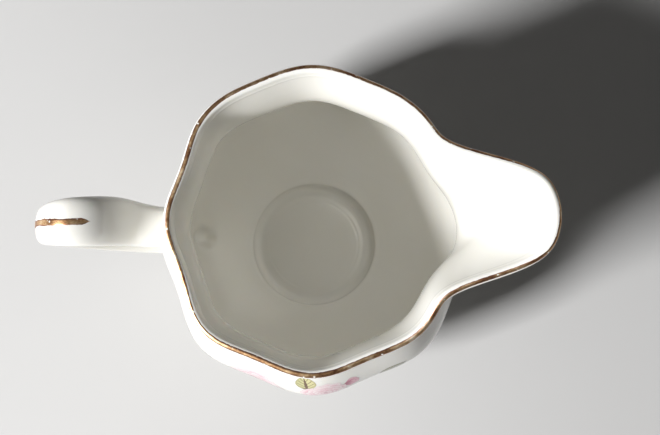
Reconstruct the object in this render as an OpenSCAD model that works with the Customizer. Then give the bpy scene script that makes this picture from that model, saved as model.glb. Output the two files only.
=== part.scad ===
// Porcelain cream jug: an eight-lobed slip-cast bowl with a flared lip and a pulled spout, on a turned foot,
// with a strap handle stuck on with slip, a gilt lip line, a gilt handle stroke and printed rose sprays.
// Millimetres. +Z is up, +X runs out through the spout, and the middle of the foot's rest face is the origin.

/* [Bowl] */
// Height of the lip line above the table, away from the spout
lip_height = 80; // [67:1:96]
// Mean outer radius of the belly at its widest
belly_radius = 41.3; // [37:0.1:49]
// Height of the belly's widest ring
belly_height = 38; // [32:1:42]
// Mean outer radius of the throat, the narrowest ring under the lip
throat_radius = 33.5; // [29:0.5:36]
// Drop from the lip line to the throat
throat_drop = 14; // [12:0.5:16]
// Mean outer radius of the lip
lip_radius = 36.3; // [34:0.5:43]
// Thickness of the cast wall
wall = 2.2; // [1.8:0.1:2.7]

/* [Lobes] */
// Number of lobes round the bowl, one of them under the spout
lobes = 8; // [6:1:10]
// How far a lobe stands out of the mean belly
belly_lobe = 0.9; // [0:0.05:1.1]
// How far a lobe stands out of the mean throat
throat_lobe = 0.5; // [0:0.05:0.8]
// How far a lobe stands out of the mean lip
lip_lobe = 0.75; // [0:0.05:1]
// How far the wall is drawn in behind the handle
draw_in = 1.6; // [0:0.1:2]
// How much further out the lip stands on the back
lip_bulge = 0.95; // [0:0.05:1.2]
// How much of the lip's lobes is left on the back
back_lobe = 0.73; // [0.4:0.01:1]

/* [Spout] */
// How far the spout's tip stands out of the lip's circle
spout_reach = 20.2; // [15:0.1:24]
// How far the spout's tip rises above the lip line
spout_rise = 11; // [6:0.5:13]
// Angle that the spout stands off the handle's line
spout_turn = 1; // [-3:0.1:3]
// Half of the angle that the spout takes up at the lip
spout_half_angle = 26; // [21:0.2:28]
// Half of the angle that the spout takes up at the throat
channel_half_angle = 18; // [14:0.5:21]

/* [Foot] */
// Height of the foot, up to the crease under the bowl
foot_height = 7; // [5:0.5:9]
// Outer radius of the foot at the crease
foot_radius = 21.5; // [19:0.5:26]
// Width of the flat, unglazed rest face
rest_width = 2.6; // [2:0.1:3.2]
// Depth of the recess under the base
recess_depth = 2; // [1.2:0.1:2.4]
// Thickness of the base
base_thickness = 2.4; // [2:0.1:2.8]
// How far the middle of the floor is domed up
floor_rise = 0.8; // [0:0.1:1]
// Radius of the well in the floor, at its shoulder
well_radius = 17.5; // [14.5:0.5:18]

/* [Handle] */
// Distance from the jug's axis to the back of the handle
handle_reach = 68.5; // [63:0.1:82]
// Height of the handle's crest above the lip line
crest_rise = 0.5; // [-4:0.5:3]
// Drop from the lip line to the handle's upper root
upper_root_drop = 17; // [14:0.5:20]
// Height of the lower root above the table
lower_root_height = 19; // [17:0.5:24]
// Width of the strap at the crest
handle_width = 11.7; // [9.5:0.1:14]
// Thickness of the strap
handle_thickness = 5.6; // [4.6:0.2:6.8]
// How far the strap bows sideways between its upper root and its crest
handle_bow = 0.95; // [0:0.05:1.2]
// Length of a slip joint between the handle and the bowl, where the strap meets the wall squarely
joint_length = 2.4; // [2:0.1:3]
// How much wider a slip joint is at the bowl than the strap
joint_flare = 1.15; // [1.1:0.05:1.4]

/* [Gilding and print] */
// Thickness of the gilt layer
gilt_thickness = 0.1; // [0.08:0.01:0.2]
// Width of the gilt stroke down the handle
stroke_width = 1.7; // [1:0.1:2.2]
// Thickness of the printed colour
print_thickness = 0.08; // [0.06:0.01:0.15]
// Size of the printed sprays, as a share of the standard transfer
spray_scale = 1; // [0.8:0.05:1.1]

/* [Hidden] */

throat_height = lip_height - throat_drop;
upper_root_height = lip_height - upper_root_drop;
spout_start = mix(belly_height, throat_height, 0.3);
floor_height = recess_depth + base_thickness;
columns = 96;
span_rows = 6;
foot_flare = 1.7;
lip_flare = 0.42;
step = 0.05;
lip_angles = [30, 55, 80, 105, 130, 155];
gilt_turns = [for (turn = lip_angles) if (turn > 45 && turn < 140) turn];
porcelain = [0.95, 0.94, 0.9];
gilt = [0.78, 0.56, 0.24];
rose_pink = [0.86, 0.5, 0.6];
leaf_green = [0.62, 0.64, 0.34];

// ---- small maths ----

function mix(a, b, k) = a + (b - a) * k;
function clamp(k) = min(max(k, 0), 1);
function ease(k) = let (c = clamp(k)) c * c * (3 - 2 * c);
function unit(v) = v / norm(v);
function share(v, low, high) = (v - low) / (high - low);

// Cubic from v0 to v1 over a height h, leaving with slope m0 and arriving with slope m1.
function hermite(v0, v1, m0, m1, h, k) =
    (1 + 2 * k) * (1 - k) * (1 - k) * v0 + k * (1 - k) * (1 - k) * h * m0
    + k * k * (3 - 2 * k) * v1 + k * k * (k - 1) * h * m1;

function bezier(p, k) =
    pow(1 - k, 3) * p[0] + 3 * k * pow(1 - k, 2) * p[1] + 3 * k * k * (1 - k) * p[2] + pow(k, 3) * p[3];

function arc(centre, radius, from, to, steps) =
    [for (i = [0:steps]) let (a = mix(from, to, i / steps)) centre + radius * [cos(a), sin(a)]];

// ---- the bowl's outer skin ----

// Mean radius at a height on the lip's unlifted profile.
function skin_radius(z) =
    z < belly_height
    ? let (k = share(z, foot_height, belly_height))
        hermite(foot_radius, belly_radius, foot_flare, 0, belly_height - foot_height, k)
    : z < throat_height
    ? let (k = share(z, belly_height, throat_height))
        hermite(belly_radius, throat_radius, 0, 0, throat_height - belly_height, k)
    : let (k = share(z, throat_height, lip_height))
        hermite(throat_radius, lip_radius, 0, lip_flare, throat_drop, k);

function lobe_depth(z) =
    z < belly_height ? mix(0, belly_lobe, ease(share(z, foot_height, belly_height)))
    : z < throat_height ? mix(belly_lobe, throat_lobe, ease(share(z, belly_height, throat_height)))
    : mix(throat_lobe, lip_lobe, ease(share(z, throat_height, lip_height)));

// Share of the spout's full reach at a height: none below its start, and all of it at the lip.
function spout_share(z) = let (k = max(0, share(z, spout_start, lip_height))) k * k * (1.676 - 0.676 * k);

function wrapped(a) = a > 180 ? a - 360 : a < -180 ? a + 360 : a;

function spout_shape(a, z) =
    let (k = ease(share(z, throat_height, lip_height)))
    let (half = mix(channel_half_angle, spout_half_angle, k), power = mix(2.5, 5.5, k))
    exp(-pow(abs(wrapped(a - spout_turn)) / half, power));

function spout_lift(a) = exp(-pow(abs(wrapped(a - spout_turn)) / (1.25 * spout_half_angle), 2));

function drawn_in(a, z) =
    draw_in * ease(share(z, foot_height, belly_height)) * exp(-pow(abs(wrapped(a - 180)) / 36, 4));

function towards_back(a, z) =
    ease(share(z, throat_height, lip_height)) * exp(-pow(abs(wrapped(a - 90)) / 40, 8));

function wall_radius(a, z) =
    let (back = towards_back(a, z), wave = mix(1, back_lobe, back) * lobe_depth(z) * cos(lobes * a))
    skin_radius(z) + wave - drawn_in(a, z) + lip_bulge * back;

function skin(a, z) =
    let (r = wall_radius(a, z), s = spout_share(z), out = spout_reach * s * spout_shape(a, z))
    let (up = spout_rise * s * spout_lift(a))
    [r * cos(a) + out * cos(spout_turn), r * sin(a) + out * sin(spout_turn), z + up];

function skin_up(a, z) = unit(skin(a, z + step) - skin(a, z - step));
function skin_out(a, z) = unit(cross(skin(a + step, z) - skin(a - step, z), skin_up(a, z)));

// Angle of a column: they stand closer together round the spout.
function column_angle(i) = let (a = 360 * i / columns) a - 18 * sin(a);

skin_heights = concat(
    [for (i = [0:span_rows - 1]) mix(foot_height, belly_height, i / span_rows)],
    [for (i = [0:span_rows - 1]) mix(belly_height, throat_height, i / span_rows)],
    [for (i = [0:span_rows]) mix(throat_height, lip_height, i / span_rows)]
);

function lip_point(a, turn, lift = 0) =
    let (out = skin_out(a, lip_height), up = skin_up(a, lip_height))
    skin(a, lip_height) - wall / 2 * out + (wall / 2 + lift) * (cos(turn) * out + sin(turn) * up);

function inner_point(a, z) = skin(a, z) - wall * skin_out(a, z);

shoulder_height = foot_height + 0.6;

// One closed section of the wall: up the outside, over the lip, down the inside, to the well's shoulder.
function wall_section(a) = concat(
    [for (z = skin_heights) skin(a, z)],
    [for (turn = lip_angles) lip_point(a, turn)],
    [for (i = [len(skin_heights) - 1:-1:0]) inner_point(a, skin_heights[i])],
    [[well_radius * cos(a), well_radius * sin(a), shoulder_height]]
);

// ---- solids from grids of points ----

function flatten(rows) = [for (row = rows) each row];

// Quads between neighbouring rows of points, each row a closed loop of the same length.
function loop_faces(rows, size, closed_rows = false) = [
    for (i = [0:rows - (closed_rows ? 1 : 2)]) for (j = [0:size - 1])
        let (a = i * size + j, b = i * size + (j + 1) % size)
        let (c = ((i + 1) % rows) * size + (j + 1) % size, d = ((i + 1) % rows) * size + j)
        each [[a, c, b], [a, d, c]]
];

// A ring that closes on itself both ways.
module closed_ring(sections) {
    size = len(sections[0]);
    polyhedron(flatten(sections), loop_faces(len(sections), size, true));
}

// A tube between loops, its ends closed by a middle point each.
module capped_tube(loops, first_middle, last_middle) {
    size = len(loops[0]);
    last = (len(loops) - 1) * size;
    base = len(loops) * size;
    polyhedron(
        concat(flatten(loops), [first_middle, last_middle]),
        concat(
            loop_faces(len(loops), size),
            [for (j = [0:size - 1]) [base, j, (j + 1) % size]],
            [for (j = [0:size - 1]) [base + 1, last + (j + 1) % size, last + j]]
        )
    );
}

// ---- the foot ----

rest_inner = foot_radius - rest_width - 0.6;
rest_outer = rest_inner + rest_width;
well_floor_radius = well_radius - 3.3;

foot_outline = concat(
    [[0, recess_depth], [rest_inner - 1.8, recess_depth], [rest_inner - 0.6, recess_depth - 0.5]],
    [[rest_inner - 0.2, 0.35], [rest_inner, 0], [rest_outer, 0]],
    arc([rest_outer, 1.2], 1.2, -60, 60, 6),
    [[foot_radius - 0.3, foot_height * 0.5], [foot_radius - 0.5, foot_height * 0.75]],
    [[foot_radius, foot_height]],
    [[well_radius, shoulder_height], [well_radius - 0.4, shoulder_height - 0.5]],
    [[well_radius - 0.9, mix(floor_height, shoulder_height, 0.4)]],
    [[well_radius - 2, mix(floor_height, shoulder_height, 0.12)], [well_floor_radius, floor_height]],
    [for (k = [0.8:-0.2:0]) [k * well_floor_radius, floor_height + floor_rise * (1 - pow(k, 4))]]
);

// ---- the handle ----

skin_back = [for (z = [upper_root_height, lower_root_height]) -wall_radius(180, z)];
strap_back = -handle_reach + handle_thickness / 2;
crest_height = lip_height + crest_rise - handle_thickness / 2;
knee = [mix(skin_back[0], strap_back, 0.36), upper_root_height + 4];
crest = [mix(skin_back[0], strap_back, 0.76), crest_height];
back = [strap_back, crest_height - 12];

// The strap's middle line, side on, as cubic spans in X and Z.
handle_spans = [
    [[skin_back[0], upper_root_height], [skin_back[0] - 4, upper_root_height + 0.3], knee - [-3, 2.2], knee],
    [knee, knee + [-3.4, 2.6], crest + [6, -0.4], crest],
    [crest, crest - [4.4, -0.3], back + [0, 6], back],
    [back, back - [0, 16], [mix(skin_back[1], back[0], 0.55), lower_root_height + 4],
        [skin_back[1], lower_root_height]],
];

function handle_line(k) =
    let (span = min(floor(k), 3), p = bezier(handle_spans[span], k - span))
    [p[0], handle_bow * exp(-pow((k - 1.25) / 0.62, 2)), p[1]];
function handle_ahead(k) =
    let (span = min(floor(k), 3), t = k - span, e = 0.002)
    let (p = bezier(handle_spans[span], min(t + e, 1)) - bezier(handle_spans[span], max(t - e, 0)))
    unit([p[0], 0, p[1]]);

// Width of the strap along its line, 0 at the upper root and 4 at the lower one.
function strap_width(k) = handle_width *
    (k < 1.6 ? mix(0.86, 1.04, ease((k - 0.2) / 1.4)) : mix(1.04, 0.62, ease((k - 1.6) / 2.2)));
function strap_thickness(k) =
    k < 2 ? mix(1.02, 1, k / 2) * handle_thickness : mix(1, 0.84, ease((k - 2) / 2)) * handle_thickness;

strap_sides = 24;
strap_roundness = 2.6;

function rounded(a) = let (p = 2 / strap_roundness)
    [sign(cos(a)) * pow(abs(cos(a)), p), sign(sin(a)) * pow(abs(sin(a)), p)];

// Offset of a point of the strap's section from its middle: across is Y, out is away from the loop.
function strap_offset(k, a, swell = 1) =
    let (q = rounded(a), ahead = handle_ahead(k), out = cross([0, 1, 0], ahead))
    [0, swell * strap_width(k) / 2 * q[0], 0] + swell * strap_thickness(k) / 2 * q[1] * out;

function strap_loop(k) =
    [for (j = [0:strap_sides - 1]) handle_line(k) + strap_offset(k, 360 * j / strap_sides)];

// The point of the bowl's skin behind the axis that has this y and z.
function on_back(p) =
    let (r = wall_radius(180 - asin(p[1] / wall_radius(180, p[2])), p[2]))
    [-sqrt(r * r - p[1] * p[1]), p[1], p[2]];

// A root's loop on the bowl, grown by swell about the strap's end.
function root_loop(k, swell) =
    [for (j = [0:strap_sides - 1]) on_back(handle_line(k) + strap_offset(k, 360 * j / strap_sides, swell))];

// Where the strap comes in at a slant, its joint is long enough to cover half the strap's thickness too.
function wall_slope(z) = (wall_radius(180, z + step) - wall_radius(180, z - step)) / (2 * step);
function joint_share(run, k, z) =
    let (slant = abs(atan(wall_slope(z)) - atan(run[1] / run[0])))
    max(joint_length, strap_thickness(k) / 2 * tan(slant)) / (3 * norm(run));

// Where the two slip joints end on the handle's line.
joint_ends = [
    joint_share(handle_spans[0][1] - handle_spans[0][0], 0, upper_root_height),
    4 - joint_share(handle_spans[3][3] - handle_spans[3][2], 4, lower_root_height),
];

module slip_joint(root, end) {
    middle_loops = [
        for (part = [0.35, 0.7]) let (k = mix(root, end, part), swell = mix(joint_flare, 1, sqrt(part)))
            [for (j = [0:strap_sides - 1])
                mix(on_back(handle_line(root) + strap_offset(root, 360 * j / strap_sides, swell)),
                    handle_line(end) + strap_offset(end, 360 * j / strap_sides), part)]
    ];
    loops = concat(
        [root_loop(root, joint_flare / 2), root_loop(root, joint_flare)], middle_loops, [strap_loop(end)]
    );
    capped_tube(
        root == 0 ? loops : [for (loop = loops) reversed(loop)],
        on_back(handle_line(root)),
        handle_line(end)
    );
}

function reversed(list) = [for (i = [len(list) - 1:-1:0]) list[i]];

// ---- gilding and print ----

// A film on the bowl's skin: an outline in millimetres about an angle and a height, turned by spin.
function film_point(place, spin, p, lift) =
    let (q = spray_scale * [p[0] * cos(spin) - p[1] * sin(spin), p[0] * sin(spin) + p[1] * cos(spin)])
    let (z = place[1] + q[1], a = place[0] + q[0] / skin_radius(place[1]) * 180 / PI)
    skin(a, z) + lift * skin_out(a, z);

module film(place, spin, outline) {
    shares = [0.5, 1];
    function loop(k, lift) = [for (p = outline) film_point(place, spin, k * p, lift)];
    capped_tube(
        [
            loop(shares[0], 0), loop(shares[1], 0),
            loop(shares[1], print_thickness), loop(shares[0], print_thickness)
        ],
        film_point(place, spin, [0, 0], 0),
        film_point(place, spin, [0, 0], print_thickness)
    );
}

function petal_outline(radius, petals) =
    [for (i = [0:23]) let (a = -15 * i) radius * (1 + 0.08 * cos(petals * a)) * [cos(a), sin(a)]];
function leaf_outline(length, width) =
    [for (i = [0:15]) let (a = -22.5 * i, x = cos(a)) [length / 2 * x, width / 2 * sin(a) * (1 - 0.25 * x)]];

// Places on a spray: [angle and height from its middle, size], and for a leaf its length, width and spin.
rose_places = [[[4.5, -3], 6.4], [[-22, -7], 8]];
bud_places = [[[14.5, -0.5], 3.4], [[-42, -10], 3.6]];
leaf_places = [
    [[-3, 4.8], [8.4, 5], 98], [[31, -4], [8, 5], 15], [[24, -11], [9, 4.6], -35],
    [[10, -15.5], [9, 5], -70], [[-9, -15], [8.5, 4.8], -100], [[-33, -17], [8.5, 4.4], 225],
    [[-44, -16.5], [7, 3.4], 200], [[-53, -7.5], [6, 3], 165],
];
spray_height = belly_height + 7.5;

module roses(middle) {
    for (r = rose_places) film([middle + r[0][0], spray_height + r[0][1]], 0, petal_outline(r[1], 6));
}
module buds(middle) {
    for (b = bud_places) film([middle + b[0][0], spray_height + b[0][1]], 0, petal_outline(b[1], 3));
}
module leaves(middle) {
    for (l = leaf_places)
        film([middle + l[0][0], spray_height + l[0][1]], l[2], leaf_outline(l[1][0], l[1][1]));
}

// ---- the sub-parts ----

module bowl() {
    color(porcelain) closed_ring([for (i = [0:columns - 1]) wall_section(column_angle(i))]);
}

module foot() {
    color(porcelain) rotate_extrude($fn = 96) polygon(foot_outline);
}

module handle() {
    steps = 34;
    loops = [for (i = [0:steps]) strap_loop(mix(joint_ends[0], joint_ends[1], i / steps))];
    color(porcelain) capped_tube(loops, handle_line(joint_ends[0]), handle_line(joint_ends[1]));
}

module upper_slip_joint() {
    color(porcelain) slip_joint(0, joint_ends[0]);
}

module lower_slip_joint() {
    color(porcelain) slip_joint(4, joint_ends[1]);
}

module rim_gilding() {
    color(gilt) closed_ring([
        for (i = [0:columns - 1]) let (a = column_angle(i))
            concat(
                [for (turn = gilt_turns) lip_point(a, turn, gilt_thickness)],
                [for (turn = reversed(gilt_turns)) lip_point(a, turn)]
            )
    ]);
}

module handle_gilding() {
    steps = 24;
    span = [1.8, 3.55];
    color(gilt) capped_tube(
        [
            for (i = [0:steps])
                let (k = mix(span[0], span[1], i / steps))
                let (taper = max(0.04, pow(sin(180 * i / steps), 0.35)))
                let (half = asin(pow(stroke_width * taper / strap_width(k), strap_roundness / 2)))
                let (middle = handle_line(k))
                concat(
                    [for (a = [90 - half, 90, 90 + half]) middle + strap_offset(k, a)],
                    [for (a = [90 + half, 90, 90 - half])
                        middle + strap_offset(k, a, 1 + 2 * gilt_thickness / handle_thickness)]
                )
        ],
        handle_line(span[0]) + strap_offset(span[0], 90, 1 + gilt_thickness / handle_thickness),
        handle_line(span[1]) + strap_offset(span[1], 90, 1 + gilt_thickness / handle_thickness)
    );
}

module front_rose_print() { color(rose_pink) roses(270); }
module front_bud_print() { color(rose_pink) buds(270); }
module front_leaf_print() { color(leaf_green) leaves(270); }
module back_rose_print() { color(rose_pink) roses(90); }
module back_bud_print() { color(rose_pink) buds(90); }
module back_leaf_print() { color(leaf_green) leaves(90); }

bowl();
foot();
handle();
upper_slip_joint();
lower_slip_joint();
rim_gilding();
handle_gilding();
front_rose_print();
front_bud_print();
front_leaf_print();
back_rose_print();
back_bud_print();
back_leaf_print();
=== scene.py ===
# %% [markdown]
# # A porcelain cream jug
# The real jug is bone china: a bowl with eight soft lobes, cast in a plaster mould, a strap handle stuck on
# with slip, a clear glaze over everything, then a gold line round the lip, a gold stroke down the handle
# and a printed spray of roses on each side. This lesson gives the measured model those surfaces. The
# measured model comes in first, and everything that is made later has to fit it.

# %% Load the measured jug
import math
import random

import bmesh
import bpy
import numpy as np
from mathutils import Matrix, Vector


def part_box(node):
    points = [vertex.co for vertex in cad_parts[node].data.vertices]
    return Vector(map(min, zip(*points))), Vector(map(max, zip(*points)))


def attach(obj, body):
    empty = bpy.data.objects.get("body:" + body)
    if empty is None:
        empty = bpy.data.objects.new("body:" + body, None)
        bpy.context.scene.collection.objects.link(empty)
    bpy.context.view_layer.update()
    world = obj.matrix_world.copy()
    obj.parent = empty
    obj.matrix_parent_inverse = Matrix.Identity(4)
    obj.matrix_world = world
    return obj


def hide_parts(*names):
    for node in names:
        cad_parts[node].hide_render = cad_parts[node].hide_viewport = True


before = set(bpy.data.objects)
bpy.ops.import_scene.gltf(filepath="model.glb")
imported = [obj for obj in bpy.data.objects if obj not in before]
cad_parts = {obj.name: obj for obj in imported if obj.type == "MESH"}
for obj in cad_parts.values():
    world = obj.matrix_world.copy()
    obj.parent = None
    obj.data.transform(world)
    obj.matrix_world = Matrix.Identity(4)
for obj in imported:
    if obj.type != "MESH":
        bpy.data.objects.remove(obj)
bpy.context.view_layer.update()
print("nodes:", ", ".join(sorted(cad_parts)))

# %% [markdown]
# ## The potter's drawing
# The measured model is faceted, which is right for measuring and wrong for glaze: a glossy surface shows
# every facet as a kink in its reflections. So the jug is drawn again from the same sizes, with the same
# curves, at a much finer grain. The sizes are in millimetres, and one factor turns them into metres.

# %% Sizes of the cast, in millimetres
mm = 0.001
lip_height, throat_drop, belly_height = 80.0, 14.0, 38.0
belly_radius, throat_radius, lip_radius = 41.3, 33.5, 36.3
lobes, belly_lobe, throat_lobe, lip_lobe = 8, 0.9, 0.5, 0.75
wall, draw_in, lip_bulge, back_lobe = 2.2, 1.6, 0.95, 0.73
spout_reach, spout_rise, spout_turn = 20.2, 11.0, 1.0
spout_half_angle, channel_half_angle = 26.0, 18.0
foot_height, foot_radius, rest_width, recess_depth = 7.0, 21.5, 2.6, 2.0
base_thickness, well_radius, floor_rise = 2.4, 17.5, 0.8
throat_height = lip_height - throat_drop
floor_height = recess_depth + base_thickness

# %% Small maths
def blend(a, b, k):
    return a + (b - a) * k


def ease(k):
    k = np.clip(k, 0, 1)
    return k * k * (3 - 2 * k)


def share(value, low, high):
    return (value - low) / (high - low)


def hermite(v0, v1, m0, m1, h, k):
    """Cubic from v0 to v1 over a height h, leaving with slope m0 and arriving with slope m1."""
    return (
        (1 + 2 * k) * (1 - k) ** 2 * v0 + k * (1 - k) ** 2 * h * m0
        + k * k * (3 - 2 * k) * v1 + k * k * (k - 1) * h * m1
    )


def unit(v):
    return v / np.linalg.norm(v, axis=-1, keepdims=True)


def wrapped(degrees):
    return (np.asarray(degrees, float) + 180) % 360 - 180


# %% [markdown]
# ## The skin of the bowl
# One function gives any point of the bowl's outside from an angle and a height. It adds up what the mould
# maker did: a turned profile, eight lobes that fade out towards the foot, a slight draw-in behind the
# handle, a lip that is fuller and flatter on the back, and the spout, which pulls the wall outwards and
# upwards. Everything else on the jug, the inside, the lip, the gold and the print, is measured from this
# one skin, so nothing can come loose from it.

# %% The skin, as a function of angle and height
foot_flare, lip_flare = 1.7, 0.42
behind_handle_width, back_width = 36, 40
spout_start = blend(belly_height, throat_height, 0.3)
spout_haste = 0.676


def by_zone(z, lower, middle, upper):
    """Pick the value for the part of the profile that z is in."""
    return np.where(z < belly_height, lower, np.where(z < throat_height, middle, upper))


def zones(z):
    return (share(z, foot_height, belly_height), share(z, belly_height, throat_height),
            share(z, throat_height, lip_height))


def skin_radius(z):
    low, mid, top = zones(z)
    return by_zone(
        z,
        hermite(foot_radius, belly_radius, foot_flare, 0, belly_height - foot_height, low),
        hermite(belly_radius, throat_radius, 0, 0, throat_height - belly_height, mid),
        hermite(throat_radius, lip_radius, 0, lip_flare, throat_drop, top),
    )


def lobe_depth(z):
    low, mid, top = (ease(k) for k in zones(z))
    waist, rim = blend(belly_lobe, throat_lobe, mid), blend(throat_lobe, lip_lobe, top)
    return by_zone(z, low * belly_lobe, waist, rim)


def wall_radius(a, z):
    behind_handle = np.exp(-(abs(wrapped(a - 180)) / behind_handle_width) ** 4)
    drawn = draw_in * ease(share(z, foot_height, belly_height)) * behind_handle
    back = ease(share(z, throat_height, lip_height)) * np.exp(-(abs(wrapped(a - 90)) / back_width) ** 8)
    wave = blend(1, back_lobe, back) * lobe_depth(z) * np.cos(np.radians(lobes * a))
    return skin_radius(z) + wave - drawn + lip_bulge * back


def spout_pull(a, z):
    """How far out and how far up the spout takes this point of the wall."""
    k = np.maximum(0, share(z, spout_start, lip_height))
    grown = k * k * (1 + spout_haste - spout_haste * k)
    top = ease(share(z, throat_height, lip_height))
    half, power = blend(channel_half_angle, spout_half_angle, top), blend(2.5, 5.5, top)
    off = abs(wrapped(a - spout_turn))
    lift = np.exp(-(off / (1.25 * spout_half_angle)) ** 2)
    return spout_reach * grown * np.exp(-(off / half) ** power), spout_rise * grown * lift


def skin(a, z):
    a, z = np.broadcast_arrays(np.asarray(a, float), np.asarray(z, float))
    r, (out, up), turn = wall_radius(a, z), spout_pull(a, z), math.radians(spout_turn)
    x = r * np.cos(np.radians(a)) + out * math.cos(turn)
    y = r * np.sin(np.radians(a)) + out * math.sin(turn)
    return np.stack([x, y, z + up], -1)


def skin_up(a, z, step=0.05):
    return unit(skin(a, z + step) - skin(a, z - step))


def skin_out(a, z, step=0.05):
    return unit(np.cross(skin(a + step, z) - skin(a - step, z), skin_up(a, z)))


for name, angle in {"spout": spout_turn, "front": 270.0, "back": 90.0, "handle side": 180.0}.items():
    print(name, "lip at", np.round(skin(angle, lip_height), 1), "mm")

# %% [markdown]
# ## From rows of points to a mesh
# A cast pot is a stack of closed rings, so its mesh is a grid: each row is a ring, and neighbouring rows
# are joined by quads. Films such as gold and print are grids too, only open at their sides. One helper
# makes both, stores any numbers that a finish needs later at its points, and shades it smooth.

# %% Mesh helpers
def make_piece(name, points, faces, notes=None):
    """A smooth mesh object from points in millimetres. notes holds a vector for each point, by name."""
    mesh = bpy.data.meshes.new(name)
    mesh.from_pydata((np.asarray(points) * mm).tolist(), [], faces)
    for key, values in (notes or {}).items():
        layer = mesh.attributes.new(key, "FLOAT_VECTOR", "POINT")
        layer.data.foreach_set("vector", np.asarray(values, np.float32).ravel())
    mesh.shade_smooth()
    piece = bpy.data.objects.new(name, mesh)
    bpy.context.scene.collection.objects.link(piece)
    print(f"{name}: {len(points)} points, {len(faces)} faces")
    return piece


def grid_faces(rows, columns, ring, start=0):
    """Quads of a grid whose rows follow each other in the point list, each row a ring or an open line."""
    last = columns if ring else columns - 1
    return [
        (start + i * columns + j, start + i * columns + (j + 1) % columns,
         start + (i + 1) * columns + (j + 1) % columns, start + (i + 1) * columns + j)
        for i in range(rows - 1) for j in range(last)
    ]


def face_outwards(piece):
    shell = bmesh.new()
    shell.from_mesh(piece.data)
    bmesh.ops.recalc_face_normals(shell, faces=shell.faces)
    shell.to_mesh(piece.data)
    shell.free()


def smooth_path(points, steps):
    """A soft line through a few given points: Catmull-Rom, steps pieces to each span."""
    p = np.asarray(points, float)
    p = np.vstack([2 * p[0] - p[1], p, 2 * p[-1] - p[-2]])
    line = []
    for p0, p1, p2, p3 in zip(p, p[1:], p[2:], p[3:]):
        for t in np.arange(steps) / steps:
            line.append(0.5 * (2 * p1 + (p2 - p0) * t + (2 * p0 - 5 * p1 + 4 * p2 - p3) * t * t
                               + (3 * p1 - p0 - 3 * p2 + p3) * t ** 3))
    return np.array(line + [p[-2]])


# %% [markdown]
# ## The cast body
# Bowl and foot leave the mould as one casting, so they are one mesh here. The rings run from the middle
# of the recess under the base, over the ring that the jug stands on, up the outside, over the rounded lip
# and down the inside into the well. Thick glaze rounds every crease, so the two creases, above the foot
# and round the well, are drawn as soft lines through a few points and not as corners. Where the foot of
# the handle was pressed on, the clay gave a little, and a shallow dimple shows inside the wall. The floor
# is domed, and the glaze that ran down to its edge set in slight ripples, which catch the light.

# %% The rings of the cast body
columns = 288


def round_the_jug(count):
    """Angles all the way round, closer together near the spout, where the skin bends most."""
    turns, crowding = 360 * np.arange(count) / count, 18
    return turns - crowding * np.sin(np.radians(turns))


column_angles = round_the_jug(columns)
lip_turns = np.linspace(0, 180, 17)
crease_height = foot_height + 1

dimple_angle, dimple_height, dimple_depth, dimple_size = 177.6, 15.4, 1.8, 2.6
bead_drop, bead_height, bead_size = 1.15, 0.07, 0.3


def lip_point(a, turn, lift=0.0):
    """A point of the lip's rounding: turn 0 is its outside, 90 its top and 180 its inside."""
    a, turn = np.broadcast_arrays(np.asarray(a, float), np.radians(np.asarray(turn, float)))
    out, up = skin_out(a, lip_height), skin_up(a, lip_height)
    swing = np.cos(turn)[..., None] * out + np.sin(turn)[..., None] * up
    return skin(a, lip_height) - wall / 2 * out + (wall / 2 + np.asarray(lift)[..., None]) * swing


def inner_point(a, z):
    sideways = np.radians(wrapped(a - dimple_angle)) * (wall_radius(a, z) - wall)
    dimple = dimple_depth * np.exp(-((sideways ** 2 + (z - dimple_height) ** 2) / dimple_size ** 2) ** 2)
    glaze_bead = bead_height * np.exp(-((lip_height - bead_drop - z) / bead_size) ** 2)
    return skin(a, z) - (wall + glaze_bead - dimple)[..., None] * skin_out(a, z)


def ring(radius, height):
    t = np.radians(column_angles)
    return np.stack([radius * np.cos(t), radius * np.sin(t), np.broadcast_to(height, columns)], -1)


def profile_of(point):
    return np.array([math.hypot(point[0], point[1]), point[2]])


rest_inner = foot_radius - rest_width - 0.6
rest_outer, bead = rest_inner + rest_width, 1.2
bead_turns = np.radians(np.linspace(-90, 62, 12))
under_side = np.vstack([
    smooth_path([[0.02, recess_depth], [6, recess_depth], [12, recess_depth], [15.6, recess_depth]], 3),
    smooth_path([[16.7, 1.9], [17.4, 1.5], [17.85, 0.8], [18.1, 0.2], [rest_inner + 0.25, 0.0]], 4),
    [[blend(rest_inner, rest_outer, k), 0.0] for k in (0.3, 0.5, 0.7, 0.9)],
    np.stack([rest_outer + bead * np.cos(bead_turns), bead + bead * np.sin(bead_turns)], -1),
])
above_crease = profile_of(skin(90, crease_height))
foot_crease = smooth_path([
    [21.18, 3.0], [20.98, 4.2], [21.02, 5.4], [21.5, 6.5], [22.2, 7.3], above_crease,
], 5)
floor_radius = well_radius - 3.3
shoulder = [profile_of(inner_point(np.float64(90), z)) for z in (crease_height, foot_height)]
well_wall = smooth_path(shoulder + [
    [18.9, 8.15], [18.1, 7.82], [17.55, 7.45], [17.3, 6.8], [17.05, 6.1], [16.6, 5.3], [16, 4.75],
    [15.2, 4.45], [14.4, floor_height],
], 4)



def floor_ring(r):
    """A ring of the domed floor, with the slight, uneven ripples of the glaze near its edge."""
    dome = floor_height + floor_rise * (1 - (r / floor_radius) ** 4)
    ripple = 0.04 * math.sin(2 * math.pi * r / 1.3) * math.exp(-((r - 12.9) / 0.75) ** 2)
    uneven = 0.6 + 0.4 * np.sin(np.radians(3 * column_angles + 200)) * np.cos(np.radians(7 * column_angles))
    return ring(r, dome + ripple * uneven)


outer_heights = np.concatenate([
    np.linspace(crease_height, belly_height, 34)[1:], np.linspace(belly_height, throat_height, 30)[1:],
    np.linspace(throat_height, lip_height - 2.4, 16)[1:],
    np.linspace(lip_height - 2.4, lip_height, 17)[1:-1],
])
inner_heights = outer_heights[::-1]

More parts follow.
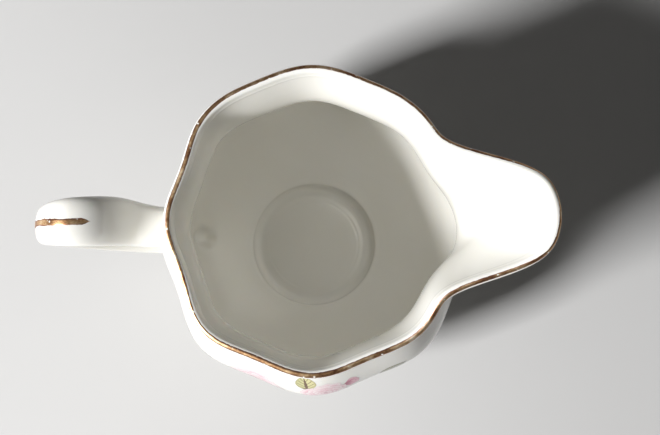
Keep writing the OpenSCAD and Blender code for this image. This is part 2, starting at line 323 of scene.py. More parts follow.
rings = [ring(r, z) for r, z in under_side] + [ring(r, z) for r, z in foot_crease]
rings += [skin(column_angles, z) for z in outer_heights]
rings += [lip_point(column_angles, turn) for turn in lip_turns]
rings += [inner_point(column_angles, z) for z in inner_heights]
rings += [ring(r, z) for r, z in well_wall]
rings += [floor_ring(r) for r in (*np.arange(14.1, 11.3, -0.14), 10.5, 9, 7, 5, 3, 1.2, 0.02)]
rings = np.array(rings)
print("rings:", len(rings), "columns:", columns)

# %% The cast body as one mesh
body_points = rings.reshape(-1, 3)
body_faces = grid_faces(len(rings), columns, ring=True)
body_faces += [tuple(range(columns))[::-1], tuple(range(len(body_points) - columns, len(body_points)))]
jug_body = make_piece("jug_body", body_points, body_faces)
face_outwards(jug_body)
bowl_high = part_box("bowl")[1]
drawn_high = body_points.max(0) * mm
print("drawn against measured, mm:", [round((d - m) * 1000, 3) for d, m in zip(drawn_high, bowl_high)])

# %% [markdown]
# ## The handle
# The strap is a rounded bar swept along a line of four easy curves: out from the throat, down into a dip
# for the thumb, up over the crest, and down the back to the belly. At both ends it was stuck on with slip,
# and the slip was smoothed with a wet brush, so the bar swells just before it meets the wall. Strap and
# slip are one glazed skin on the real jug, so one mesh stands for all three measured nodes.

# %% The handle's line
handle_reach, handle_width, handle_thickness, handle_bow = 68.5, 11.7, 5.6, 0.95
crest_rise, upper_root_drop, lower_root_height = 0.5, 17.0, 19.0
joint_length, strap_roundness = 2.4, 2.6
upper_root_height = lip_height - upper_root_drop
root_x = [-float(wall_radius(180, z)) for z in (upper_root_height, lower_root_height)]
strap_back = -handle_reach + handle_thickness / 2
crest_height = lip_height + crest_rise - handle_thickness / 2
knee = np.array([blend(root_x[0], strap_back, 0.36), upper_root_height + 4])
crest = np.array([blend(root_x[0], strap_back, 0.76), crest_height])
back = np.array([strap_back, crest_height - 12])
lower_bend = [blend(root_x[1], back[0], 0.55), lower_root_height + 4]
handle_spans = np.array([
    [[root_x[0], upper_root_height], [root_x[0] - 4, upper_root_height + 0.3], knee - [-3, 2.2], knee],
    [knee, knee + [-3.4, 2.6], crest + [6, -0.4], crest],
    [crest, crest - [4.4, -0.3], back + [0, 6], back],
    [back, back - [0, 16], lower_bend, [root_x[1], lower_root_height]],
])


def handle_line(k):
    """The middle of the strap, k from 0 at the upper root to 4 at the lower one, with its sideways bow."""
    span = min(int(k), 3)
    t = k - span
    p = handle_spans[span]
    x, z = (1 - t) ** 3 * p[0] + 3 * t * (1 - t) ** 2 * p[1] + 3 * t * t * (1 - t) * p[2] + t ** 3 * p[3]
    return np.array([x, handle_bow * math.exp(-((k - 1.25) / 0.62) ** 2), z])


def handle_ahead(k):
    span = min(int(k), 3)
    t = k - span
    p = handle_spans[span]
    dx, dz = (1 - t) ** 2 * (p[1] - p[0]) + 2 * t * (1 - t) * (p[2] - p[1]) + t * t * (p[3] - p[2])
    return unit(np.array([dx, 0.0, dz]))


def strap_size(k):
    """Width and thickness of the strap along its line, 0 at the upper root and 4 at the lower one."""
    widening, narrowing = ease((k - 0.2) / 1.4), ease((k - 1.6) / 2.2)
    width = blend(0.86, 1.04, widening) if k < 1.6 else blend(1.04, 0.62, narrowing)
    thickness = blend(1.02, 1, k / 2) if k < 2 else blend(1, 0.84, ease((k - 2) / 2))
    return width * handle_width, thickness * handle_thickness


def joint_share(run, k, z, step=0.05):
    """How much of its span a slip joint takes. At a slanted root it covers half the strap's thickness."""
    slope = float(wall_radius(180, z + step) - wall_radius(180, z - step)) / (2 * step)
    slant = abs(math.atan(slope) - math.atan(run[1] / run[0]))
    return max(joint_length, strap_size(k)[1] / 2 * math.tan(slant)) / (3 * np.linalg.norm(run))


joint_ends = [
    joint_share(handle_spans[0][1] - handle_spans[0][0], 0, upper_root_height),
    4 - joint_share(handle_spans[3][3] - handle_spans[3][2], 4, lower_root_height),
]
print("the joints end at", np.round(joint_ends, 3), "on the handle's line")


def strap_point(k, angles, swell=1.0, lift=0.0):
    """Points round the strap's section: 90 degrees is the outside of the handle's loop."""
    t = np.radians(angles)
    power = 2 / strap_roundness
    across = np.sign(np.cos(t)) * abs(np.cos(t)) ** power
    outward = np.sign(np.sin(t)) * abs(np.sin(t)) ** power
    width, thickness = strap_size(k)
    side, out = np.array([0.0, 1.0, 0.0]), np.cross([0, 1, 0], handle_ahead(k))
    return (handle_line(k) + np.outer(across * (swell * width / 2 + lift), side)
            + np.outer(outward * (swell * thickness / 2 + lift), out))


def on_wall(points):
    """The same points moved level with the table onto the bowl's skin, on the handle's side."""
    y, z = points[:, 1], points[:, 2]
    r = wall_radius(180 - np.degrees(np.arcsin(y / wall_radius(180, z))), z)
    return np.stack([-np.sqrt(r * r - y * y), y, z], -1)


# %% The handle as one mesh
strap_angles = 360 * np.arange(56) / 56
slip_swell, slip_steps, sunk = 0.28, 14, 0.12


def slip_loops(root, end):
    """Loops from the strap's end onto the wall, swelling like brushed slip, the last one just inside it."""
    loops = []
    for t in np.linspace(1, 0, slip_steps, endpoint=False):
        loop = strap_point(blend(end, root, t), strap_angles, 1 + slip_swell * t ** 3)
        loops.append(blend(loop, on_wall(loop) + [sunk, 0, 0], t ** 3))
    return loops


handle_loops = slip_loops(0.0, joint_ends[0])
handle_loops += [strap_point(k, strap_angles) for k in np.linspace(*joint_ends, 170)]
handle_loops += slip_loops(4.0, joint_ends[1])[::-1]
handle_points = np.array(handle_loops).reshape(-1, 3)
loop_size = len(strap_angles)
handle_faces = grid_faces(len(handle_loops), loop_size, ring=True)
handle_faces += [tuple(range(loop_size))[::-1],
                 tuple(range(len(handle_points) - loop_size, len(handle_points)))]
jug_handle = make_piece("jug_handle", handle_points, handle_faces)
face_outwards(jug_handle)

# %% [markdown]
# ## Gold
# Bright gold is brushed on over the fired glaze while the jug turns on a banding wheel. The brush leaves
# a line whose edges wander a little, thicker in the middle than at the edges, and it rides higher or lower
# on the lip as the hand tires: outside on the back, inside on the front and by the handle, and thin where
# the spout's tip is worn. By the handle, its inner edge also runs further down the inside of the lip than
# anywhere else, so that the dark gold covers the lip's inner rounding there as painted shade, where the low
# light leaves that rounding in shade. The line here is a thin film on the lip's rounding. Both of its edges
# are given at a few places round the lip, as turns of the lip's rounding, with slow waves added. Each point
# stores where it is across and along the line, so that the finish can wear it thin.

# %% The gold line round the lip
def wander(angle, seed, size):
    """A slow, closed wave along the lip, made of a few harmonics: the painter's hand."""
    draw = random.Random(seed)
    total = 0.0
    for harmonic in (2, 3, 5, 9, 14, 23, 37):
        total = total + draw.uniform(-1, 1) * np.sin(np.radians(harmonic * angle) + draw.uniform(0, 6.28)) \
            / harmonic ** 0.5
    return size * total


gold_height, gold_lift, gold_columns = 0.05, 0.012, 720
around = round_the_jug(gold_columns)
line_angles = [0, 10, 22, 36, 60, 90, 120, 140, 160, 172, 184, 196, 212, 225, 250, 270, 300, 330, 350]
line_outer = [62, 44, 40, 60, 55, 58, 62, 74, 78, 84, 92, 84, 70, 60, 62, 60, 54, 54, 62]
# On the handle's side, from 140 to 200 degrees, the inner turns are the largest: there the dark gold is
# carried over the lip's inner rounding as painted shade.
line_inner = [112, 84, 84, 100, 108, 112, 118, 136, 136, 138, 144, 138, 126, 120, 128, 136, 128, 116, 114]


def ridden(values, reach=12):
    """How high the brush rode at each place round the lip, eased between the places."""
    fine = np.interp(around, line_angles, values, period=360)
    return sum(np.roll(fine, shift) for shift in range(-reach, reach + 1)) / (2 * reach + 1)


def film_height(c):
    """Thickness of brushed gold, c from -1 to 1 across the line."""
    return gold_height * (1 - c ** 4) + gold_lift


outer_edge = ridden(line_outer) + wander(around, 11, 3)
inner_edge = ridden(line_inner) + wander(around, 12, 4)
across = np.linspace(-1, 1, 11)
gold_rows = []
gold_notes = []
for c in across:
    turn = blend(outer_edge, inner_edge, (c + 1) / 2)
    gold_rows.append(lip_point(around, turn, np.full(gold_columns, film_height(c))))
    gold_notes.append(np.stack([np.full(gold_columns, c), around / 360, np.zeros(gold_columns)], -1))
rim_gold = make_piece("rim_gold", np.array(gold_rows).reshape(-1, 3),
                      grid_faces(len(across), gold_columns, ring=True),
                      {"brush": np.array(gold_notes).reshape(-1, 3)})

# %% The gold stroke down the handle
stroke_width, stroke_span, stroke_steps = 1.7, (1.8, 3.55), 220
stroke_rows = []
stroke_notes = []
for i in range(stroke_steps + 1):
    part = i / stroke_steps
    k = blend(*stroke_span, part)
    taper = max(0.03, math.sin(math.pi * min(part * 7, 0.5)) * math.sin(math.pi * min((1 - part) * 5, 0.5)))
    waver = 1 + 0.1 * math.sin(23 * part + 1) + 0.06 * math.sin(61 * part)
    width, thickness = strap_size(k)
    half_angle = math.degrees(math.asin((stroke_width * taper * waver / width) ** (strap_roundness / 2)))
    drift = 1.5 * math.sin(9 * part + 0.6)
    for c in across:
        angle = np.array([90 + drift - c * half_angle])
        stroke_rows.append(strap_point(k, angle, 1.0, film_height(c))[0])
        stroke_notes.append([c, part, 1.0])
handle_gold = make_piece("handle_gold", np.array(stroke_rows),
                         grid_faces(stroke_steps + 1, len(across), ring=False), {"brush": stroke_notes})

# %% [markdown]
# ## The printed roses
# The sprays are ceramic transfers: flat colour, a few thousandths of a millimetre thick, fired into the
# glaze. Painting them as an image would need a picture file, and drawing them in the shader would make one
# huge formula. Here each petal and each leaf is its own small grid laid on the skin of the bowl, as the
# print's colours lie on the glaze. Each point stores how far along and across its petal it is, and the
# finish turns that into shading, streaks and veins. Later layers lie a few microns above earlier ones.

# %% Laying print on the skin
first_layer, layer_step = 0.02, 0.0022


def on_skin(middle, x, y, lift):
    """x and y in millimetres on the bowl, from an angle and a height, lifted off the skin."""
    angle, height = middle
    z = height + y
    a = angle + np.degrees(x / skin_radius(np.float64(height)))
    return skin(a, z) + lift * skin_out(a, z)


class Print:
    """The grids of one printed colour group, gathered into one mesh."""

    def __init__(self, spray_angle, seed):
        self.angle = spray_angle
        self.draw = random.Random(seed)
        self.points, self.faces, self.notes = [], [], []

    def add(self, place, x, y, along, across, tone, lift):
        spot = (self.angle + place[0], spray_height + place[1])
        start = sum(len(p) for p in self.points)
        rows, columns = x.shape
        self.points.append(on_skin(spot, x, y, lift).reshape(-1, 3))
        self.faces += grid_faces(rows, columns, ring=False, start=start)
        note = np.stack([along, across, np.full(x.shape, tone)], -1)
        self.notes.append(note.reshape(-1, 3))

    def piece(self, name):
        return make_piece(name, np.vstack(self.points), self.faces, {"print": np.vstack(self.notes)})


spray_height = belly_height + 7.5

# %% [markdown]
# ### Petals
# A petal is a fan: narrow where it starts, broad and softly notched at its edge. A rose is drawn from the
# outside inwards in rings of petals, each ring smaller, turned a little and laid over the one before.

# %% Petals, roses and buds
def petal(sheet, place, facing, start, reach, spread, tone, lift):
    along, across = np.meshgrid(np.linspace(0, 1, 12), np.linspace(-1, 1, 17), indexing="ij")
    phase = sheet.draw.uniform(0, 6.28)
    notch = 0.055 * np.exp(-(across / 0.16) ** 2)
    edge = 1 - 0.2 * across ** 4 - notch + 0.025 * np.sin(6 * across + phase)
    radius = start + (reach * edge - start) * along
    swing = np.radians(facing + spread * across * along ** 0.45 + 3 * np.sin(3 * along + phase))
    sheet.add(place, radius * np.cos(swing), radius * np.sin(swing), along, across, tone, lift)


def rose(sheet, place, radius, layer):
    """A full rose, seen from the front, from the given layer up."""
    rings = [
        (7, 1.0, 34, 0.4), (6, 0.8, 38, 0.32), (6, 0.62, 40, 0.2), (5, 0.45, 44, 0.1), (4, 0.29, 52, 0.04),
        (3, 0.16, 64, 0.0),
    ]
    turn = sheet.draw.uniform(0, 60)
    for count, size, spread, start in rings:
        turn += 180 / count + sheet.draw.uniform(-6, 6)
        for i in range(count):
            reach = radius * size * sheet.draw.uniform(0.93, 1.05)
            facing = turn + 360 * i / count + sheet.draw.uniform(-5, 5)
            tone = sheet.draw.uniform(0, 1)
            lift = first_layer + layer * layer_step
            petal(sheet, place, facing, radius * start * size, reach, spread, tone, lift)
            layer += 1


def moved(place, distance, direction):
    """A place on the spray, moved by millimetres in a direction."""
    angle = math.radians(direction)
    sideways = math.degrees(distance * math.cos(angle) / belly_radius)
    return place[0] + sideways, place[1] + distance * math.sin(angle)


def bud(sheet, place, radius, facing, layer):
    """A bud seen from the side: dark petals folded up out of one point."""
    base = moved(place, -radius, facing)
    for turn, size in ((-34, 0.85), (34, 0.9), (-14, 1.0), (16, 0.96), (0, 0.75)):
        tone, lift = sheet.draw.uniform(-1.4, -0.6), first_layer + layer * layer_step
        petal(sheet, base, facing + turn, 0.1, 1.9 * radius * size, 24, tone, lift)
        layer += 1


# %% [markdown]
# ### Leaves and stems
# A leaf is a long grid that swells and closes again, with a toothed edge. Its midrib bends, because a
# straight leaf looks stamped. Stems are thin ribbons that run from the leaves to the flowers, under them,
# and each bud has three narrow sepals, which are small leaves laid under it.

# %% Leaves and stems
def leaf(sheet, place, length, width, spin, tone, lift):
    along, across = np.meshgrid(np.linspace(0, 1, 34), np.linspace(-1, 1, 15), indexing="ij")
    bend = sheet.draw.uniform(-0.12, 0.12) * length
    teeth = 1 + 0.07 * abs((along * 9) % 1 - 0.5) * (abs(across) > 0.9)
    half = width / 2 * np.sin(np.pi * along ** 0.8) ** 0.85 * teeth
    x0 = length * (along - 0.5)
    y0 = across * half + bend * np.sin(np.pi * along)
    c, s = math.cos(math.radians(spin)), math.sin(math.radians(spin))
    sheet.add(place, x0 * c - y0 * s, x0 * s + y0 * c, along, across, tone, lift)


def stem(sheet, place, start, middle, end, width, lift):
    """A ribbon along an easy curve, through three points in millimetres from place."""
    t = np.linspace(0, 1, 24)[:, None]
    start, middle, end = (np.array(p, float) for p in (start, middle, end))
    line = (1 - t) ** 2 * start + 2 * t * (1 - t) * middle + t * t * end
    side = unit(np.gradient(line, axis=0))[:, ::-1] * [-1, 1]
    along, across = np.meshgrid(t[:, 0], np.linspace(-1, 1, 5), indexing="ij")
    half = width / 2 * (1 - 0.5 * along)
    x = line[:, :1] + side[:, :1] * across * half
    y = line[:, 1:] + side[:, 1:] * across * half
    sheet.add(place, x, y, along * 0, across * 0.02, 0.3, lift)


# %% The two sprays
rose_places = [((4.5, -3), 6.4), ((-22, -7), 8.0)]
bud_places = [((14.5, -0.5), 3.4, 0), ((-42, -10), 3.6, 165)]
leaf_places = [
    ((-3, 4.6), 8.4, 5.2, 98, 0.0), ((31, -4), 8, 5, 15, 0.9), ((24, -11), 9, 4.6, -35, 0.4),
    ((10, -15.5), 9, 5, -70, 0.9), ((-9, -15), 8.5, 4.8, -100, 0.3), ((-33, -17), 8.5, 4.4, 225, 0.7),
    ((-44, -16.5), 7, 3.4, 200, 0.5), ((-53, -7.5), 6, 3, 165, 0.2),
]
stems = [
    ((4.5, -3), (-1, 1), (-3, 3), (-4.4, 4.6)),
    ((10, -15.5), (1, 3), (-1, 8), (-4, 12)), ((-9, -15), (0, 4), (3, 8), (7, 11)),
    ((-42, -10), (2, 1), (7, 3), (12, 4)), ((-33, -17), (2, 2), (4, 6), (6, 10)),
    ((24, -11), (-3, 1), (-8, 5), (-13, 7)), ((-44, -16.5), (2, 1), (5, 3), (8, 8)),
    ((-53, -7.5), (2, 0), (5, -1), (8, -2)),
]
print_pieces = {}
for side, angle in (("front", 270.0), ("back", 90.0)):
    roses, buds, leaves = Print(angle, 5), Print(angle, 7), Print(angle, 9)
    for place, *route in stems:
        stem(leaves, place, *route, 0.42, first_layer * 0.6)
    for n, (place, length, width, spin, tone) in enumerate(leaf_places):
        leaf(leaves, place, length, width, spin, tone, first_layer * 0.8 + n * layer_step * 0.3)
    for place, radius in rose_places:
        rose(roses, place, radius, 2)
    for place, radius, facing in bud_places:
        bud(buds, place, radius * 0.75, facing, 3)
        for turn in (-38, 0, 38):
            sepal = moved(moved(place, -0.62 * radius, facing), 1.1, facing + turn)
            leaf(leaves, sepal, 3.4, 1.3, facing + turn, 0.6, first_layer * 0.9)
    print_pieces[side] = {"rose": roses.piece(f"{side}_roses"), "bud": buds.piece(f"{side}_buds"),
                          "leaf": leaves.piece(f"{side}_leaves")}

# %% [markdown]
# ## Writing finishes as sums
# A finish is a tree of shader nodes, and most of its nodes are plain arithmetic. The small class below
# wraps a socket, so that `mask * 0.5 + noise` adds the Math nodes by itself. Every other node comes from
# one method, which takes the node's type, its settings and what goes into its sockets.

# %% The socket class and the finish bench
class Tap:
    """A node's output that can be used in sums."""

    def __init__(self, bench, socket):
        self.bench, self.socket = bench, socket

    def sum(self, operation, *terms):
        return self.bench.node("ShaderNodeMath", {"operation": operation}, dict(enumerate(terms)))

    def __add__(self, other):
        return self.sum("ADD", self, other)

    def __sub__(self, other):
        return self.sum("SUBTRACT", self, other)

    def __rsub__(self, other):
        return self.sum("SUBTRACT", other, self)

    def __mul__(self, other):
        return self.sum("MULTIPLY", self, other)

    def __mod__(self, other):
        return self.sum("FLOORED_MODULO", self, other)

    def __abs__(self):
        return self.sum("ABSOLUTE", self)

    __radd__, __rmul__ = __add__, __mul__


class Finish:
    """A material whose nodes are added by one method."""

    def __init__(self, name):
        self.material = bpy.data.materials.new(name)
        self.material.use_nodes = True
        self.tree = self.material.node_tree
        self.tree.nodes.clear()

    def node(self, kind, settings=None, inputs=None, output=0):
        made = self.tree.nodes.new(kind)
        for key, value in (settings or {}).items():
            if key == "stops":
                set_stops(made.color_ramp.elements, value)
            else:
                setattr(made, key, value)
        for key, value in (inputs or {}).items():
            if isinstance(value, Tap):
                self.tree.links.new(value.socket, made.inputs[key])
            else:
                made.inputs[key].default_value = value
        return None if output is None else Tap(self, made.outputs[output])

    def mix(self, factor, first, second, how="MIX"):
        """Mix two colours: sockets 6 and 7 are the colour inputs, and output 2 is the colour."""
        settings = {"data_type": "RGBA", "blend_type": how}
        return self.node("ShaderNodeMix", settings, {0: factor, 6: first, 7: second}, 2)

    def between(self, value, low, high):
        """0 below low, 1 above high, and an eased step from one to the other."""
        return self.node("ShaderNodeMapRange", {"interpolation_type": "SMOOTHSTEP"},
                         {"Value": value, "From Min": low, "From Max": high})

    def noise(self, where, scale, detail=2.0, rough=0.5):
        return self.node("ShaderNodeTexNoise", None,
                         {"Vector": where, "Scale": scale, "Detail": detail, "Roughness": rough})

    def ramp(self, value, stops):
        return self.node("ShaderNodeValToRGB", {"stops": stops}, {0: value})

    def bump(self, height, distance, strength=1.0):
        inputs = {"Height": height, "Distance": distance, "Strength": strength}
        return self.node("ShaderNodeBump", None, inputs)

    def surface(self, **sockets):
        """The Principled shader, with sockets named as words joined by underscores."""
        named = {key.replace("_", " "): value for key, value in sockets.items()}
        shader = self.node("ShaderNodeBsdfPrincipled", None, named)
        self.node("ShaderNodeOutputMaterial", None, {"Surface": shader}, None)
        print(self.material.name, "has", len(self.tree.nodes), "nodes")
        return self.material


def set_stops(elements, stops):
    """Give a colour ramp exactly these stops, each a position and a colour."""
    while len(elements) > 1:
        elements.remove(elements[-1])
    for n, (position, colour) in enumerate(stops):
        element = elements[0] if n == 0 else elements.new(position)
        element.position = position
        element.color = (*colour, 1.0)


# %% [markdown]
# ## Glazed bone china
# Bone china is a warm white that lets a little light in, under a glaze as smooth as glass. What tells it
# from plastic is small: a broad, barely visible waviness from the mould, a fine skin like orange peel, a
# faint warm cloudiness in the clay, and here and there a tiny iron speck. The ring that the jug stands on
# was wiped clean of glaze before firing, so it is matt and slightly stained.

# %% The china finish
def china(name):
    f = Finish(name)
    where = f.node("ShaderNodeTexCoord", None, None, "Object")
    place = f.node("ShaderNodeSeparateXYZ", None, {0: where}, "Z")
    clouds = f.noise(where, 38.0, 3.0, 0.55)
    colour = f.ramp(clouds, [(0.3, (0.815, 0.8, 0.742)), (0.7, (0.845, 0.832, 0.787))])
    cells = f.node("ShaderNodeTexVoronoi", {"feature": "F1"}, {"Vector": where, "Scale": 95.0}, "Distance")
    chosen = f.node("ShaderNodeTexVoronoi", {"feature": "F1"}, {"Vector": where, "Scale": 95.0}, "Color")
    lot = f.node("ShaderNodeSeparateColor", None, {0: chosen}, 0)
    speck = (1 - f.between(cells, 0.008, 0.02)) * f.between(lot, 0.86, 0.87)
    colour = f.mix(speck * 0.75, colour, (0.2, 0.13, 0.07, 1))
    bare = 1 - f.between(place, 0.00015, 0.0006)
    stain = f.noise(where, 420.0, 4.0, 0.7)
    colour = f.mix(bare, colour, f.ramp(stain, [(0.35, (0.62, 0.58, 0.5)), (0.65, (0.8, 0.78, 0.72))]))
    smears = f.noise(where, 70.0, 3.0, 0.6)
    rough = 0.035 + f.between(smears, 0.45, 0.75) * 0.05 + bare * 0.6
    wave = f.noise(where, 55.0, 1.0, 0.4)
    peel = f.noise(where, 700.0, 2.0, 0.5)
    normal = f.bump(wave * 1.0 + peel * 0.02 + stain * bare * 0.2, 0.00035, 0.6)
    return f.surface(Base_Color=colour, Roughness=rough, Normal=normal, IOR=1.55, Subsurface_Weight=0.12,
                     Subsurface_Scale=0.0025, Subsurface_Radius=(1.0, 0.85, 0.6))


china_body = china("glazed_china")

# %% [markdown]
# ## Fired gold
# Liquid bright gold fires to a thin mirror with a brown cast. A hand-banded line is never even: it is
# streaked along the brush's way, thin and brown at its edges, and polished paler where fingers rub it.
# Where it has worn through, the glaze shows, so a mask mixes metal back into china.

# %% The gold finish
def fired_gold(name, streaks, specks):
    """streaks is how many brush streaks lie along the line, and a lower specks wears more spots through."""
    f = Finish(name)
    where = f.node("ShaderNodeTexCoord", None, None, "Object")
    brush = f.node("ShaderNodeAttribute", {"attribute_name": "brush"}, None, "Vector")
    across = f.node("ShaderNodeSeparateXYZ", None, {0: brush}, "X")
    along = f.node("ShaderNodeSeparateXYZ", None, {0: brush}, "Y")
    drag = f.node("ShaderNodeCombineXYZ", None, {"X": across * 4.0, "Y": along * streaks})
    hairs = f.noise(drag, 1.0, 4.0, 0.65)
    blotch = f.noise(where, 260.0, 3.0, 0.6)
    colour = f.ramp(blotch * 0.65 + hairs * 0.35, [
        (0.36, (0.34, 0.15, 0.08)), (0.45, (0.68, 0.37, 0.18)), (0.54, (0.9, 0.62, 0.34)),
        (0.64, (1.0, 0.9, 0.72)),
    ])
    thin = f.between(abs(across) + (hairs - 0.5) * 0.8, 0.4, 0.85)
    colour = f.mix(thin * 0.85, colour, (0.3, 0.1, 0.09, 1))
    edge = abs(across) + (f.noise(where, 900.0, 3.0, 0.6) - 0.5) * 0.6
    scuffs = f.noise(where, 820.0, 2.0, 0.5)
    worn = f.between(edge, 0.86, 1.0) + f.between(scuffs, specks, specks + 0.04)
    worn = f.node("ShaderNodeClamp", None, {0: worn})
    colour = f.mix(worn, colour, (0.86, 0.85, 0.79, 1))
    rough = 0.26 + hairs * 0.2 + f.between(blotch, 0.45, 0.7) * 0.12 - worn * 0.2
    normal = f.bump(hairs * 0.6 + blotch * 0.4, 0.00003, 0.5)
    return f.surface(Base_Color=colour, Roughness=rough, Metallic=1 - worn, Normal=normal, IOR=1.5)


rim_gold_finish = fired_gold("fired_gold_line", 260.0, 0.665)
stroke_gold_finish = fired_gold("fired_gold_stroke", 60.0, 0.7)

# %% [markdown]
# ## Transfer colours
# A rose in a ceramic print is shaded by the engraver: deep at the heart of each petal, nearly white before
# the edge, and a fine darker line at the very edge. Leaves are yellow green with brown veins. Fired into
# the glaze, the colours are as glossy as the china, and only their edges can be felt.

# %% The petal and leaf finishes
def petal_colour(name):
    f = Finish(name)
    note = f.node("ShaderNodeAttribute", {"attribute_name": "print"}, None, "Vector")
    along, across, tone = (f.node("ShaderNodeSeparateXYZ", None, {0: note}, axis) for axis in "XYZ")
    where = f.node("ShaderNodeTexCoord", None, None, "Object")
    grain = f.noise(where, 1500.0, 3.0, 0.6)
    combed = f.node("ShaderNodeCombineXYZ", None, {"X": along * 2.0, "Y": across * 16.0, "Z": tone * 9.0})
    streak = f.noise(combed, 1.0, 3.0, 0.6)
    depth = along + (streak - 0.5) * 0.5 + (tone - 0.5) * 0.22 + (grain - 0.5) * 0.08
    colour = f.ramp(depth, [
        (0.0, (0.36, 0.06, 0.13)), (0.25, (0.56, 0.17, 0.26)), (0.5, (0.72, 0.38, 0.45)),
        (0.74, (0.82, 0.58, 0.62)), (0.95, (0.87, 0.76, 0.76)),
    ])
    rim = f.between(along, 0.93, 0.985) * f.between(streak, 0.3, 0.6)
    colour = f.mix(rim * 0.55, colour, (0.55, 0.24, 0.34, 1))
    normal = f.bump(grain, 0.00002, 0.3)
    return f.surface(Base_Color=colour, Roughness=0.06 + grain * 0.06, Normal=normal, IOR=1.55)


def leaf_colour(name):
    f = Finish(name)
    note = f.node("ShaderNodeAttribute", {"attribute_name": "print"}, None, "Vector")
    along, across, tone = (f.node("ShaderNodeSeparateXYZ", None, {0: note}, axis) for axis in "XYZ")
    where = f.node("ShaderNodeTexCoord", None, None, "Object")
    grain = f.noise(where, 1300.0, 3.0, 0.6)
    patch = f.noise(where, 330.0, 2.0, 0.6)
    green = f.ramp(tone + (patch - 0.5) * 0.7, [
        (0.0, (0.66, 0.62, 0.3)), (0.45, (0.4, 0.42, 0.18)), (1.0, (0.19, 0.22, 0.1)),
    ])
    side = abs(across)
    green = f.mix(f.between(across, -0.1, 0.5) * 0.35, green, (0.2, 0.24, 0.1, 1))
    midrib = 1 - f.between(side - (1 - along) * 0.14, 0.03, 0.1)
    ladder = abs((along * 5.0 - side * 1.6) % 1.0 - 0.5)
    veins = f.between(ladder + (grain - 0.5) * 0.08, 0.36, 0.45) * (1 - f.between(side, 0.7, 0.95))
    edge = f.between(side + (grain - 0.5) * 0.3, 0.78, 0.98) * 0.4
    heel = 1 - f.between(along + (patch - 0.5) * 0.3, 0.02, 0.2)
    lines = f.node("ShaderNodeClamp", None, {0: midrib + veins * 0.85 + edge + heel * 0.8})
    colour = f.mix(lines, green, (0.13, 0.075, 0.03, 1))
    normal = f.bump(grain, 0.00002, 0.3)
    return f.surface(Base_Color=colour, Roughness=0.06 + grain * 0.06, Normal=normal, IOR=1.55)


rose_pinks = petal_colour("rose_pinks")
leaf_greens = leaf_colour("leaf_greens")

# %% [markdown]
# ## Putting the pieces on the measured model
# Every piece rides on the jug's one rigid body and stands for the measured nodes that it draws, which are
# hidden.

# %% Riding, replacing and painting
def settle(piece, material, slot, *nodes):
    piece.data.materials.append(material)
    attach(piece, "root")
    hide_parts(*nodes)
    print(piece.name, "stands for", ", ".join(nodes))


settle(jug_body, china_body, "porcelain", "bowl", "foot")
settle(jug_handle, china_body, "porcelain", "handle", "upper_slip_joint", "lower_slip_joint")
settle(rim_gold, rim_gold_finish, "gilding", "rim_gilding")
settle(handle_gold, stroke_gold_finish, "gilding", "handle_gilding")
for side, pieces in print_pieces.items():
    settle(pieces["rose"], rose_pinks, "rose_print", f"{side}_rose_print")
    settle(pieces["bud"], rose_pinks, "rose_print", f"{side}_bud_print")
    settle(pieces["leaf"], leaf_greens, "leaf_print", f"{side}_leaf_print")

# %% [markdown]
# ## The table, the light and the camera
# The jug stands on a plain pale table. It is lit by one small softbox, a little under half way up, from
# behind the handle's near side. It makes the far side of the lip glow and leaves the inside in soft
# shade, lit by what the far wall throws back. A broad, faint softbox and a weak, even sky fill the rest.
# The camera looks almost straight down, from a little in front.

# %% A pale table
floor_mesh = bpy.data.meshes.new("table_top")
table = bmesh.new()
table_radius = 9.0
bmesh.ops.create_circle(table, cap_ends=True, segments=96, radius=table_radius)
table.to_mesh(floor_mesh)
table.free()
table_top = bpy.data.objects.new("table_top", floor_mesh)
bpy.context.scene.collection.objects.link(table_top)


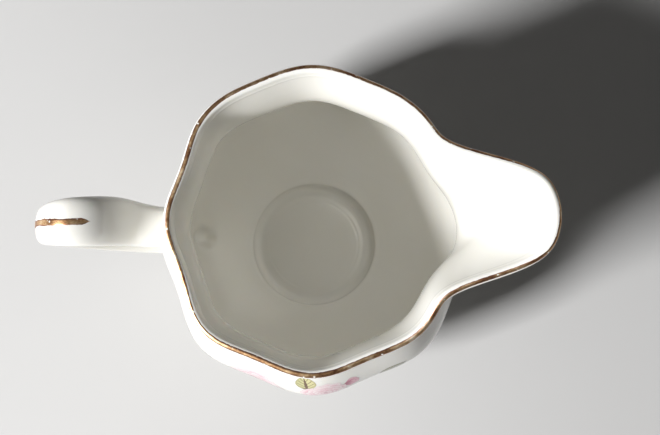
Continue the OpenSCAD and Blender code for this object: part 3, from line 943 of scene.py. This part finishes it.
def table_finish():
    f = Finish("pale_table")
    where = f.node("ShaderNodeTexCoord", None, None, "Object")
    tone = f.noise(where, 6.0, 3.0, 0.5)
    colour = f.ramp(tone, [(0.3, (0.52, 0.515, 0.505)), (0.7, (0.55, 0.545, 0.535))])
    return f.surface(Base_Color=colour, Roughness=0.75)


table_top.data.materials.append(table_finish())

# %% Light
jug_middle = Vector((0, 0, 0.05))


def add_window(name, direction, elevation, distance, width, height, power, colour):
    """A softbox that faces the middle of the jug."""
    lamp = bpy.data.lights.new(name, "AREA")
    lamp.shape, lamp.size, lamp.size_y, lamp.energy, lamp.color = "RECTANGLE", width, height, power, colour
    holder = bpy.data.objects.new(name, lamp)
    bpy.context.scene.collection.objects.link(holder)
    a, e = math.radians(direction), math.radians(elevation)
    towards = Vector((math.cos(a) * math.cos(e), math.sin(a) * math.cos(e), math.sin(e)))
    holder.location = jug_middle + towards * distance
    holder.rotation_euler = towards.to_track_quat("Z", "Y").to_euler()
    print(name, "at", [round(c, 2) for c in holder.location])


add_window("window", 207, 39.3, 1.2, 0.24, 0.24, 26.0, (0.985, 0.988, 1.0))
add_window("far_wall", 40, 50, 1.2, 0.9, 0.9, 0.5, (0.94, 0.97, 1.0))
sky = bpy.data.worlds.new("studio")
sky.use_nodes = True
sky.node_tree.nodes["Background"].inputs["Color"].default_value = (0.93, 0.91, 0.88, 1)
sky.node_tree.nodes["Background"].inputs["Strength"].default_value = 0.06
bpy.context.scene.world = sky
bpy.context.scene.view_settings.view_transform = "Standard"

# %% Camera
lens, sensor, stand_off = 80.2, 36.0, 0.3501
tilt, lean = math.radians(5.2), math.radians(0.31)
aim = Vector((0.0042, 0.0011, lip_height * mm))
ahead = Vector((math.tan(lean), math.tan(tilt), -1)).normalized()
right = ahead.cross(Vector((0, 1, 0))).normalized()
up = right.cross(ahead)
camera_data = bpy.data.cameras.new("camera")
camera_data.lens, camera_data.sensor_width, camera_data.clip_start = lens, sensor, 0.01
camera = bpy.data.objects.new("camera", camera_data)
bpy.context.scene.collection.objects.link(camera)
turned = Matrix((right, up, -ahead)).transposed().to_4x4()
camera.matrix_world = Matrix.Translation(aim - ahead * stand_off) @ turned
bpy.context.scene.camera = camera
print("camera at", [round(c, 4) for c in camera.location])
